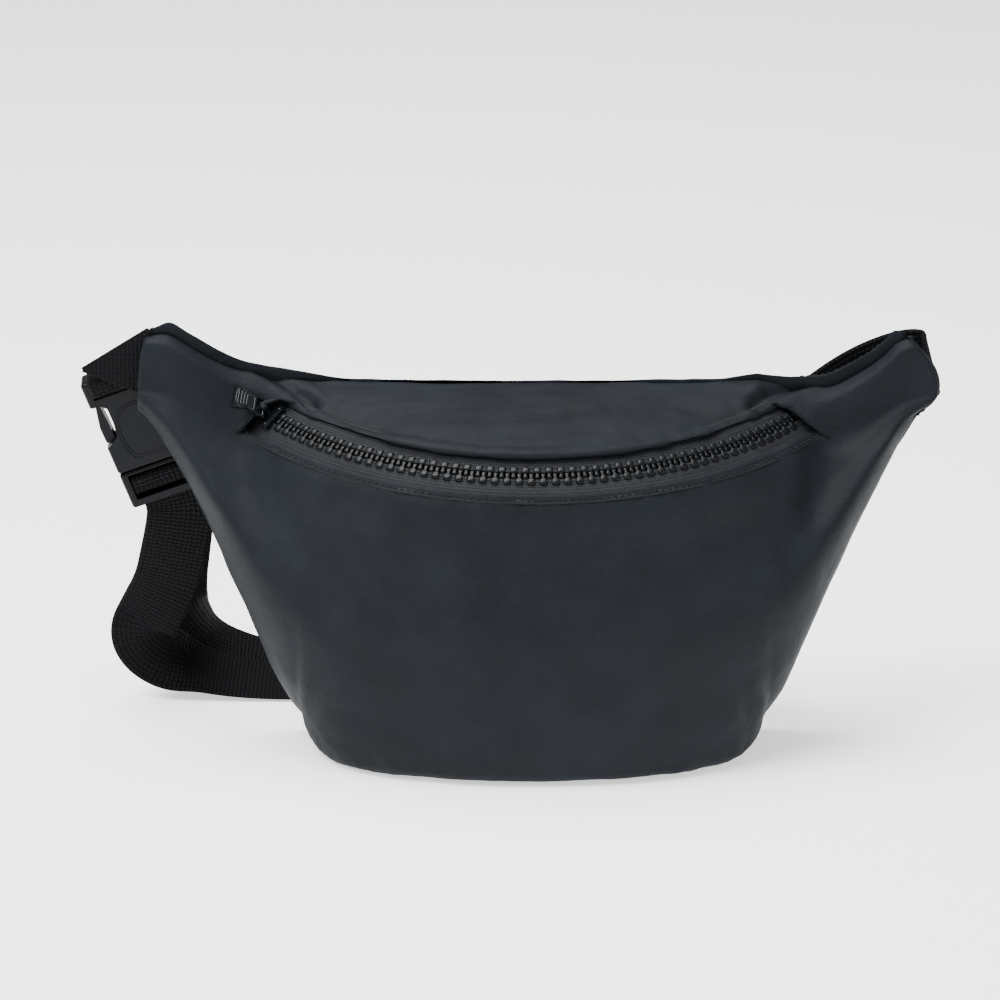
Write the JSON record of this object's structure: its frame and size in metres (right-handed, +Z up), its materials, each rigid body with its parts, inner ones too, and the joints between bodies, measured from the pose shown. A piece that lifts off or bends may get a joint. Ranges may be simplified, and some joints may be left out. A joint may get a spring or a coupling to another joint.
{
  "type": "waist pack",
  "caption": "Soft crescent-shaped waist pack with a curved front zipper, wings, a webbing belt and a side-release buckle.",
  "frame": {"origin": "centre of the flat base, on the surface the pack stands on", "axes": "+X to the viewer's right along the pack's length, +Y towards the wearer, +Z up"},
  "size_m": [0.3884, 0.1771, 0.1946],
  "materials": {
    "shell_fabric": "fine peached nylon, faint satin sheen",
    "lining_fabric": "thin smooth polyester",
    "zipper_tape": "knitted polyester tape",
    "zipper_moulding": "satin moulded teeth",
    "zipper_slider": "semi-gloss black",
    "buckle_moulding": "satin black acetal",
    "webbing": "coarse ribbed polypropylene weave",
    "thread": "twisted sewing thread"
  },
  "bodies": {
    "root": {"back_panel": "shell_fabric", "front_panel": "shell_fabric", "lining": "lining_fabric", "lower_tape": "zipper_tape", "upper_tape_ends": "zipper_tape", "lower_teeth": "zipper_moulding", "upper_teeth_ends": "zipper_moulding", "zipper_end_stops": "zipper_moulding", "buckle_socket": "buckle_moulding", "tab_webbing": "webbing", "belt_right": "webbing", "belt_floor": "webbing", "tail_floor": "webbing"},
    "mouth": {"top_panel": "shell_fabric", "top_lining": "lining_fabric", "upper_tape": "zipper_tape", "upper_teeth": "zipper_moulding"},
    "slider": {"slider_body": "zipper_slider"},
    "pull": {"pull_tab": "zipper_slider"},
    "plug": {"buckle_plug": "buckle_moulding", "belt_wrap": "webbing", "belt_hanging": "webbing", "tail_hanging": "webbing"},
    "left_prong": {"left_prong": "buckle_moulding"},
    "right_prong": {"right_prong": "buckle_moulding"}
  },
  "joints": [
    {"name": "slider_travel", "type": "hinge", "parent": "root", "child": "slider", "pos_m": [0, 0.12034, 0.17011], "axis": [0, -0.1874, 0.9823], "range_deg": [0, 101.6]},
    {"name": "pull_swing", "type": "hinge", "parent": "slider", "child": "pull", "pos_m": [-0.1204, 0.02628, 0.15756], "axis": [0.141, 0.6815, 0.7181], "range_deg": [0, 58]},
    {"name": "mouth_opening", "type": "hinge", "parent": "root", "child": "mouth", "pos_m": [0, 0.0384, 0.167], "axis": [-1, 0, 0], "range_deg": [0, 35]},
    {"name": "buckle_release", "type": "slide", "parent": "root", "child": "plug", "axis": [0.3321, 0.15, -0.9312], "range_m": [0, 0.04], "deforming": ["left_prong", "right_prong", "belt_hanging", "tail_hanging"]},
    {"name": "left_squeeze", "type": "hinge", "parent": "plug", "child": "left_prong", "pos_m": [-0.18499, 0.05468, 0.12132], "axis": [-0.0504, 0.9887, 0.1413], "range_deg": [0, 4], "stiffness_Nm_per_rad": 0.05},
    {"name": "right_squeeze", "type": "hinge", "parent": "plug", "child": "right_prong", "pos_m": [-0.15598, 0.05468, 0.13167], "axis": [0.0504, -0.9887, -0.1413], "range_deg": [0, 4], "stiffness_Nm_per_rad": 0.05}
  ]
}
